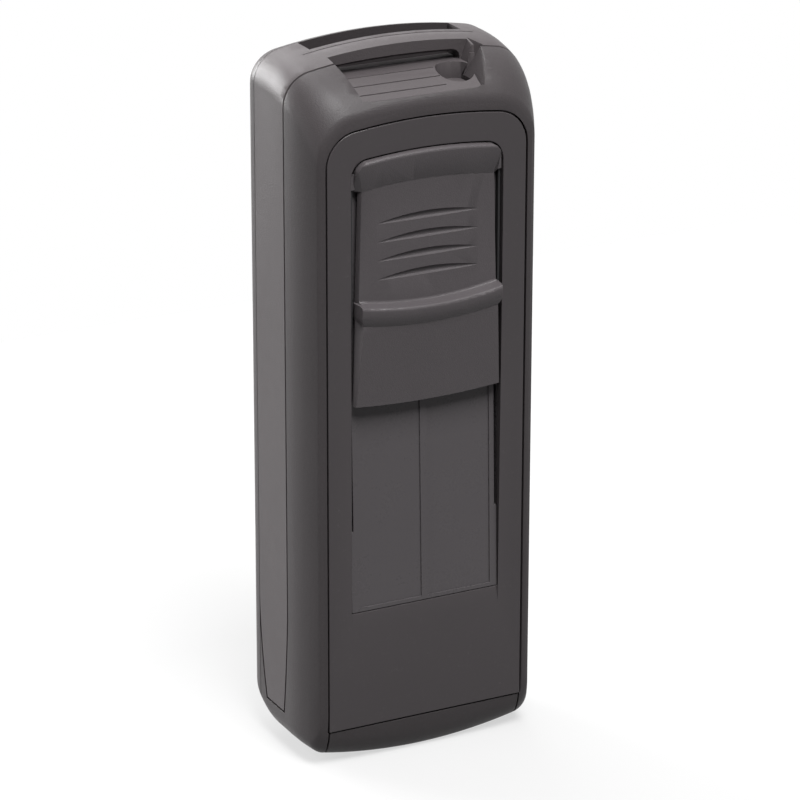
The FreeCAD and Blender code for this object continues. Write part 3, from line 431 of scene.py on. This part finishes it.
@dataclass(frozen=True)
class SoftenedEdges:
    """A moulding whose sharp edges are slightly rounded, as they leave the mould."""

    node: str
    body: str
    radius: float = 0.00015
    segments: int = 2
    sharp: float = math.radians(28.0)
    flat: float = math.radians(0.35)
    merge_distance: float = 2e-6

    def _merged_copy(self, solid: bpy.types.Object) -> bpy.types.Mesh:
        """Copies a solid's mesh, with its seams closed and its flat facets joined.

        Args:
            solid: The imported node.

        Returns:
            The smooth copy, with its sharp edges marked.
        """
        mesh = bpy.data.meshes.new(self.node + "_softened")
        work = bmesh.new()
        work.from_mesh(solid.data)
        bmesh.ops.remove_doubles(work, verts=work.verts, dist=self.merge_distance)
        bmesh.ops.dissolve_limit(work, angle_limit=self.flat, verts=work.verts, edges=work.edges)
        for face in work.faces:
            face.smooth = True
        work.to_mesh(mesh)
        work.free()
        mesh.set_sharp_from_angle(angle=self.sharp)
        return mesh

    def build(self, solid: bpy.types.Object, wardrobe: Wardrobe) -> None:
        """Makes the rounded piece that stands for the node.

        Args:
            solid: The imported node.
            wardrobe: Where the finish comes from.
        """
        mesh = self._merged_copy(solid)
        piece = bpy.data.objects.new(mesh.name, mesh)
        bpy.context.scene.collection.objects.link(piece)
        rounding = piece.modifiers.new("edges", "BEVEL")
        rounding.width = self.radius
        rounding.segments = self.segments
        rounding.limit_method = "ANGLE"
        rounding.angle_limit = self.sharp
        rounding.use_clamp_overlap = True
        rounding.harden_normals = True
        wardrobe.dress(piece, self.node)
        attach(piece, self.body)
        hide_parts(self.node)
        log.info("rounded the edges of %s", self.node)


@dataclass(frozen=True)
class Viewpoint:
    """The photograph's camera, in the part's frame."""

    place: Place = (-0.27135, -0.53067, 0.27837)
    yaw: float = math.radians(27.1387)
    drop: float = math.radians(20.4562)
    roll: float = math.radians(0.087)
    lens: float = 181.57
    sensor: float = 36.0
    clip_start: float = 0.01

    def build(self) -> None:
        """Makes the camera, looking yaw to the right of +Y and drop below the horizon."""
        ahead = Vector((math.sin(self.yaw) * math.cos(self.drop),
                        math.cos(self.yaw) * math.cos(self.drop), -math.sin(self.drop)))
        level = Vector((math.cos(self.yaw), -math.sin(self.yaw), 0.0))
        above = level.cross(ahead)
        right = math.cos(self.roll) * level + math.sin(self.roll) * above
        up = math.cos(self.roll) * above - math.sin(self.roll) * level
        data = bpy.data.cameras.new("photo_camera")
        data.lens = self.lens
        data.sensor_width = self.sensor
        data.clip_start = self.clip_start
        camera = bpy.data.objects.new("photo_camera", data)
        turn = Matrix((right, up, -ahead)).transposed().to_4x4()
        camera.matrix_world = Matrix.Translation(self.place) @ turn
        bpy.context.scene.collection.objects.link(camera)
        bpy.context.scene.camera = camera


@dataclass(frozen=True)
class Softbox:
    """One square area lamp."""

    name: str
    place: Place
    power: float
    aim: Place = (0.0, 0.0, 0.06)
    size: float = 0.55

    def build(self) -> None:
        """Makes the lamp, turned to its aim."""
        data = bpy.data.lights.new(self.name, "AREA")
        data.shape = "SQUARE"
        data.size = self.size
        data.energy = self.power
        lamp = bpy.data.objects.new(self.name, data)
        lamp.location = self.place
        line = Vector(self.aim) - Vector(self.place)
        lamp.rotation_euler = line.to_track_quat("-Z", "Y").to_euler()
        bpy.context.scene.collection.objects.link(lamp)


@dataclass(frozen=True)
class Studio:
    """White surroundings, a pale floor that keeps the shadow, and soft lamps."""

    floor_half: float = 0.2
    floor_glow: float = 0.62
    floor_tone: float = 0.16
    ambient: float = 0.05
    lamps: Sequence[Softbox] = field(default_factory=lambda: (
        Softbox("rear_left", (-0.5, 0.9, 0.3), 22.0),
        Softbox("above", (0.0, 0.1, 1.0), 5.0),
        Softbox("above_front", (0.0, -0.5, 1.0), 22.0),
        Softbox("rear", (0.0, 0.7, 0.75), 6.0),
        Softbox("left", (-1.0, 0.0, 0.25), 3.0),
    ))

    def _floor_material(self) -> bpy.types.Material:
        """White to the camera where it is lit, greyer in the shadow."""
        g = Graph("studio_floor")
        g.tree.nodes.remove(g.surface)
        diffuse = g.node("ShaderNodeBsdfDiffuse", {}, {"Color": (self.floor_tone,) * 3})
        path = g.node("ShaderNodeLightPath", {}, {})
        seen, glossy, through = (Signal(g, path.outputs[ray]) for ray in BACKGROUND_RAYS)
        strength = (seen + glossy + through).clamped() * self.floor_glow
        glow = g.node("ShaderNodeEmission", {}, {"Color": WHITE, "Strength": strength})
        both = g.node("ShaderNodeAddShader", {}, {0: diffuse.outputs[0], 1: glow.outputs[0]})
        g.feed(g.output.inputs["Surface"], both.outputs[0])
        return g.material

    def _floor(self) -> None:
        """Makes the floor under the stamp."""
        h = self.floor_half
        mesh = bpy.data.meshes.new("floor")
        corners = [(-h, -h, 0.0), (h, -h, 0.0), (h, h, 0.0), (-h, h, 0.0)]
        mesh.from_pydata(corners, [], [(0, 1, 2, 3)])
        mesh.materials.append(self._floor_material())
        floor = bpy.data.objects.new("floor", mesh)
        bpy.context.scene.collection.objects.link(floor)

    def _surroundings(self) -> None:
        """Makes the world: white to the rays that see it, dim to the light that it gives."""
        world = bpy.data.worlds.new("studio")
        bpy.context.scene.world = world
        world.use_nodes = True
        nodes, links = world.node_tree.nodes, world.node_tree.links
        nodes.clear()
        path = nodes.new("ShaderNodeLightPath")
        back = nodes.new("ShaderNodeBackground")
        back.inputs["Color"].default_value = (*WHITE, 1.0)
        out = nodes.new("ShaderNodeOutputWorld")
        links.new(back.outputs[0], out.inputs["Surface"])
        level = nodes.new("ShaderNodeValue").outputs[0]
        level.default_value = self.ambient
        for ray in BACKGROUND_RAYS:
            step = nodes.new("ShaderNodeMath")
            step.operation = "MULTIPLY_ADD"
            links.new(path.outputs[ray], step.inputs[0])
            step.inputs[1].default_value = 1.0 - self.ambient
            links.new(level, step.inputs[2])
            level = step.outputs[0]
        links.new(level, back.inputs["Strength"])

    def build(self) -> None:
        """Makes the floor, the surroundings and the lamps."""
        self._floor()
        self._surroundings()
        for lamp in self.lamps:
            lamp.build()
        bpy.context.scene.view_settings.view_transform = "Standard"


def main() -> None:
    """Builds the dressed stamp, its camera and its studio, in order."""
    logging.basicConfig(level=logging.INFO, format="%(name)s: %(message)s")
    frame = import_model()
    wardrobe = Wardrobe()
    for node, obj in frame["nodes"].items():
        wardrobe.dress(obj, node)
    for node, body in SOFTENED_NODES.items():
        SoftenedEdges(node, body).build(frame["nodes"][node], wardrobe)
    Viewpoint().build()
    Studio().build()


if __name__ == "__main__":
    main()
